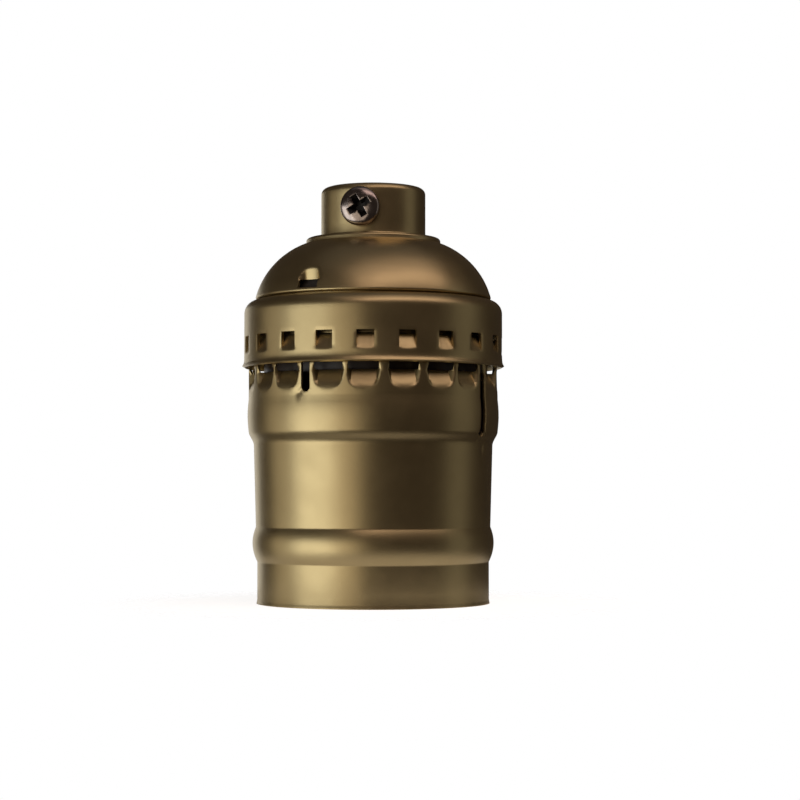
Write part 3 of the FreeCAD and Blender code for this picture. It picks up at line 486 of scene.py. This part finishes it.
capStops = [centre + side * half for centre in windowAzimuths for side in (-1, 1)
            for half in (windowHalfAngle, tabHalfAngle)]
capStops += [centre + lugSlotHalfAngle * k / 7 for centre in lugAzimuths for k in range(-8, 9)]
capColumns = spread(capStops, 1.8)
bm = bmesh.new()
capGrid = gridSheet(bm, len(capProfile), capColumns, capPoint, capHole)
tabStep = cap["tabLength"] / len(cap["tabLeans"])
tabPath = [(tabStep * math.sin(math.radians(lean)), tabStep * math.cos(math.radians(lean)))
           for lean in cap["tabLeans"]]
pressTabs(bm, capGrid, capColumns, tabRow, windowAzimuths, tabHalfAngle, tabPath)
drawnCap = newPiece("drawnCap", bm, satinBronze, "cap", "cap")
modify(drawnCap, "SOLIDIFY", thickness=cap["wall"] * mm, offset=-1)
settle(drawnCap)
cutWith(drawnCap, rodCutter("capScrewHole", screwAzimuth, screwHeight, cap["screwHole"], 12))
breakEdges(drawnCap, cap["edge"], 60)
print("cap drawn", len(drawnCap.data.polygons))


# Threaded bush
bush = {"barrel": 7.4, "flange": 9.2, "foot": 54.0, "flangeTop": 55.2, "top": 63.0, "round": 0.5,
        "minor": 4.46, "major": 5.0, "pitch": 1.0, "chamfer": 0.6, "screwHole": 1.8}


def sawWave(turn):  # 0 on a crest, a fifth of the pitch wide, to 1 in a groove, a quarter wide
    t = abs((turn % 1) * 2 - 1)
    return max(0.0, min(1.0, (t - 0.2) / 0.55))


def bushThreadRadius(z, azimuth):
    radius = bush["minor"] + (bush["major"] - bush["minor"]) * sawWave(z / bush["pitch"] - azimuth / 360)
    mouth = bush["minor"] + bush["chamfer"] - min(bush["top"] - z, z - bush["foot"])
    return max(radius, mouth)


bushOuter = [(bush["flange"], bush["foot"]), (bush["flange"], bush["flangeTop"]),
             (bush["barrel"], bush["flangeTop"]), (bush["barrel"], bush["top"] - bush["round"]),
             (bush["barrel"] - bush["round"], bush["top"])]
bushHeights = bands(bush["top"], (bush["foot"], 90))


def bushPoint(row, azimuth):
    if row < len(bushOuter):
        radius, z = bushOuter[row]
    else:
        z = bushHeights[row - len(bushOuter)]
        radius = bushThreadRadius(z, azimuth)
    return onAxis(radius, azimuth, z)


bm = bmesh.new()
gridSheet(bm, len(bushOuter) + len(bushHeights), [5 * k for k in range(72)], bushPoint, closedRows=True)
tappedBush = newPiece("tappedBush", bm, zincedSteel, "cap", "threaded_bush")
cutWith(tappedBush, rodCutter("bushScrewHole", screwAzimuth, screwHeight, bush["screwHole"], 10))


# Screw shell
lampThread = {"mean": 12.75, "depth": 1.06, "pitch": 3.629, "foot": 4.4, "top": 22.545, "wall": 0.4,
              "mouth": 13.5, "mouthFoot": 2.6, "plain": 13.28, "floor": 25.4, "floorHole": 9.0,
              "runOut": 1.6}
mouthOuter = lampThread["mouth"] + lampThread["wall"]
plainOuter = lampThread["plain"] + lampThread["wall"]
screwProfile = [(mouthOuter, lampThread["mouthFoot"]), (mouthOuter, 3.4), (13.85, 3.8), (13.6, 4.15)]
screwProfile += [(None, z) for z in bands(lampThread["foot"], (lampThread["top"], 70))]  # the thread's rows
screwProfile += [(plainOuter, 23.2), (plainOuter, 24.2), (plainOuter, 25.0), (13.55, 25.3)]
screwProfile += [(radius, lampThread["floor"])
                 for radius in (lampThread["plain"], 12.0, lampThread["floorHole"])]


def screwShellPoint(row, azimuth):
    radius, z = screwProfile[row]
    if radius is None:
        toEnd = min(z - lampThread["foot"], lampThread["top"] - z)
        fade = min(1, toEnd / lampThread["runOut"])
        wave = math.cos(2 * math.pi * (z / lampThread["pitch"] - azimuth / 360))
        radius = lampThread["mean"] + lampThread["wall"] + lampThread["depth"] / 2 * wave * fade
    return onAxis(radius, azimuth, z)


bm = bmesh.new()
gridSheet(bm, len(screwProfile), [3.75 * k for k in range(96)], screwShellPoint)
rolledScrewShell = newPiece("rolledScrewShell", bm, nickelledBrass,
                            "shell", "screw_shell")
modify(rolledScrewShell, "SOLIDIFY", thickness=lampThread["wall"] * mm, offset=-1)
settle(rolledScrewShell)


# Set screw
setScrew = {"seat": 8.15, "shank": 1.75, "length": 2.84, "tip": 0.4, "head": 3.0,
            "headHeight": 1.8, "headRound": 0.8, "recessSpan": 3.8, "recessWidth": 1.1, "recessDepth": 1.6,
            "recessTurn": 30, "pitch": 0.6, "threadDepth": 0.3, "edge": 0.06}
headProfile = [(setScrew["shank"], 0.0), (2.7, 0.0), (2.93, 0.05), (setScrew["head"], 0.2),
               (setScrew["head"], setScrew["headRound"])]
headProfile += arcPoints(setScrew["head"] - setScrew["headRound"], setScrew["headRound"],
                         setScrew["headRound"], 10, 70, 8)
headProfile += [(2.2, 1.66), (1.5, 1.76), (0.8, setScrew["headHeight"])]
shankHeights = bands(-setScrew["length"], (-0.15, 36))


def screwPoint(row, azimuth):  # local frame: Z points out of the head
    if row < len(shankHeights):
        z = shankHeights[row]
        groove = setScrew["threadDepth"] * sawWave(z / setScrew["pitch"] - azimuth / 360)
        pointed = setScrew["shank"] - setScrew["tip"] + z + setScrew["length"]
        radius = min(setScrew["shank"] - groove, pointed)
    else:
        radius, z = headProfile[row - len(shankHeights)]
    return onAxis(radius, azimuth, z)


bm = bmesh.new()
screwGrid = gridSheet(bm, len(shankHeights) + len(headProfile), [7.5 * k for k in range(48)], screwPoint)
bm.faces.new(reversed(screwGrid[0]))
bm.faces.new(screwGrid[-1])
crossScrew = newPiece("crossScrew", bm, blackNickel, "set_screw", "set_screw")
span, width = setScrew["recessSpan"] / 2, setScrew["recessWidth"] / 2
recessFloor = setScrew["headHeight"] - setScrew["recessDepth"]
bm = bmesh.new()
rings = []
for height, spanShare, widthShare in ((recessFloor, 0.4, 0.6), (setScrew["headHeight"] + 0.5, 1.15, 1.1)):
    far, near = span * spanShare, width * widthShare
    arm = [(far, -near), (far, near), (near, near)]
    quarters = [Matrix.Rotation(math.radians(setScrew["recessTurn"] + 90 * k), 3, "Z") for k in range(4)]
    corners = [quarter @ Vector((x, y, height)) for quarter in quarters for x, y in arm]
    rings.append([bm.verts.new(corner * mm) for corner in corners])
for k in range(12):
    bm.faces.new((rings[0][k], rings[0][(k + 1) % 12], rings[1][(k + 1) % 12], rings[1][k]))
bm.faces.new(reversed(rings[0]))
bm.faces.new(rings[1])
recessMesh = meshFrom(bm, "recess")
# the recess's faces take the near-black painted shade of the screw's recess
recessMesh.materials.append(recessPaintedShade)
cutWith(crossScrew, placeObject("recess", recessMesh), material_mode="TRANSFER")
breakEdges(crossScrew, setScrew["edge"], 35)
pointOut = Matrix.Rotation(math.radians(screwAzimuth), 4, "Z") @ Matrix.Rotation(math.radians(90), 4, "X")
seatPlace = onAxis(setScrew["seat"], screwAzimuth, screwHeight)
crossScrew.data.transform(Matrix.Translation(seatPlace) @ pointOut)
print("threads and screw made")


# Pieces kept from the frame
nodeFinishes = {
    pressedFibre: ["shell_liner", "cap_liner", "insulating_disc"],
    mouldedPhenolic: ["terminal_block"],
    zincedSteel: ["block_rivet_left", "block_rivet_right"],
    nickelledBrass: ["neutral_terminal", "neutral_terminal_screw", "neutral_clamp_plate", "neutral_rivet"],
    bareBrass: ["line_terminal", "line_terminal_screw", "line_clamp_plate", "line_rivet", "centre_contact"],
}
for material, names in nodeFinishes.items():
    for name in names:
        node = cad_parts[name]
        node.data.materials.clear()
        node.data.materials.append(material)


# Floor, studio and camera
floorSize = {"radius": 46, "solid": 24}
# A pale painted floor: white by itself to the camera and in gloss, and it takes a shadow.
floorMaterial, tree = newMaterial("palePaintedFloor")
rays = addNode(tree, "LightPath").outputs
inGloss = addNode(tree, "Math", {0: rays["Is Glossy Ray"], 1: 0.28}, operation="MULTIPLY").outputs[0]
ownLight = addNode(tree, "Math", {0: rays["Is Camera Ray"], 1: 0.85, 2: inGloss},
                   operation="MULTIPLY_ADD").outputs[0]
ownShader = addNode(tree, "Emission", {"Color": (1, 1, 1, 1), "Strength": ownLight})
litShader = addNode(tree, "BsdfDiffuse", {"Color": linearColour("#F2F1EF")})
floorShader = addNode(tree, "AddShader", {0: ownShader.outputs[0], 1: litShader.outputs[0]})
place = addNode(tree, "TexCoord").outputs["Object"]
away = addNode(tree, "VectorMath", {0: place}, operation="LENGTH").outputs["Value"]
fade = addNode(tree, "MapRange", {"Value": away, "From Min": floorSize["solid"] * mm,
                                  "From Max": floorSize["radius"] * mm},
               interpolation_type="SMOOTHSTEP").outputs[0]
clear = addNode(tree, "BsdfTransparent")
fromBelow = addNode(tree, "NewGeometry").outputs["Backfacing"]
hidden = addNode(tree, "Math", {0: fade, 1: fromBelow}, operation="MAXIMUM").outputs[0]
mixed = addNode(tree, "MixShader", {0: hidden, 1: floorShader.outputs[0], 2: clear.outputs[0]})
addNode(tree, "OutputMaterial", {"Surface": mixed.outputs[0]})
bm = bmesh.new()
bmesh.ops.create_circle(bm, cap_ends=True, segments=96, radius=floorSize["radius"] * mm)
floor = newPiece("floor", bm, floorMaterial)
floor.location.z = -0.02 * mm  # just under the solids' foot

# A dark cloth tent stands round the set, open behind, so that the metal shows dark cloth,
# lamps and white backdrop. Its radius is in metres, and openShare is a share of it.
tentSize = {"radius": 0.9, "openAzimuth": 198, "openHalf": 20, "openShare": 0.2}
tentMaterial, tree = newMaterial("darkTentCloth")
tentGlow = addNode(tree, "Emission", {"Color": linearColour("#FFE6D4"), "Strength": 0.035})
addNode(tree, "OutputMaterial", {"Surface": tentGlow.outputs[0]})
bm = bmesh.new()
bmesh.ops.create_uvsphere(bm, u_segments=48, v_segments=24, radius=tentSize["radius"])


def inOpening(centre):
    azimuth = math.degrees(math.atan2(centre.x, -centre.y))
    across = abs(angleGap(azimuth, tentSize["openAzimuth"]))
    return across < tentSize["openHalf"] and abs(centre.z) < tentSize["openShare"] * tentSize["radius"]


opened = [face for face in bm.faces if inOpening(face.calc_center_median())]
bmesh.ops.delete(bm, geom=opened, context="FACES")
tent = newPiece("tent", bm, tentMaterial)
tent.visible_camera = False

middle = Vector((0, 0, 30 * mm))
softboxes = {  # azimuth, elevation, then distance, width and height in metres, radiance, colour
    "leftBox": (-59, -9, 0.6, 0.46, 0.40, 1.62, "#FFFFFC"),
    "frontBox": (-27, -7, 0.62, 0.30, 0.40, 0.70, "#FFF0DC"),
    "sideBox": (-98, -7, 0.62, 0.26, 0.40, 0.48, "#FFF4E4"),
    "topBox": (34, 49, 0.6, 0.90, 0.20, 1.25, "#FFE4DC"),
    "highBox": (34, 70, 0.6, 0.80, 0.22, 0.36, "#FFE4DC"),
    "ceilingBox": (34, 84, 0.7, 1.20, 1.20, 0.06, "#F2F3FF"),
    "rightBox": (88, 6, 0.6, 0.30, 0.60, 0.17, "#FFFCF0"),
}
for name, (azimuth, elevation, distance, width, height, radiance, colour) in softboxes.items():
    lamp = bpy.data.lights.new(name, "AREA")
    lamp.shape = "RECTANGLE"
    lamp.size = width
    lamp.size_y = height
    lamp.energy = radiance * math.pi * width * height
    lamp.color = linearColour(colour)[:3]
    stand = placeObject(name, lamp)
    lift = math.radians(elevation)
    direction = onAxis(1, azimuth, 0).normalized() * math.cos(lift) + Vector((0, 0, math.sin(lift)))
    stand.location = middle + direction * distance
    stand.rotation_euler = direction.to_track_quat("Z", "Y").to_euler()
    stand.visible_camera = False

world = bpy.data.worlds.new("whiteBackdrop")
world.use_nodes = True
world.node_tree.nodes["Background"].inputs["Color"].default_value = (1, 1, 1, 1)
world.node_tree.nodes["Background"].inputs["Strength"].default_value = 1.0
bpy.context.scene.world = world

camera = bpy.data.cameras.new("camera")
camera.lens = 94
camera.sensor_width = 36
camera.clip_start = 0.01
cameraStand = placeObject("camera", camera)
cameraStand.location = (0, -0.320, 0.0182)
aim = Vector((0.0041, 0, 0.031))
cameraStand.rotation_euler = (cameraStand.location - aim).to_track_quat("Z", "Y").to_euler()
bpy.context.scene.camera = cameraStand
bpy.context.scene.view_settings.view_transform = "Standard"
print("studio set")
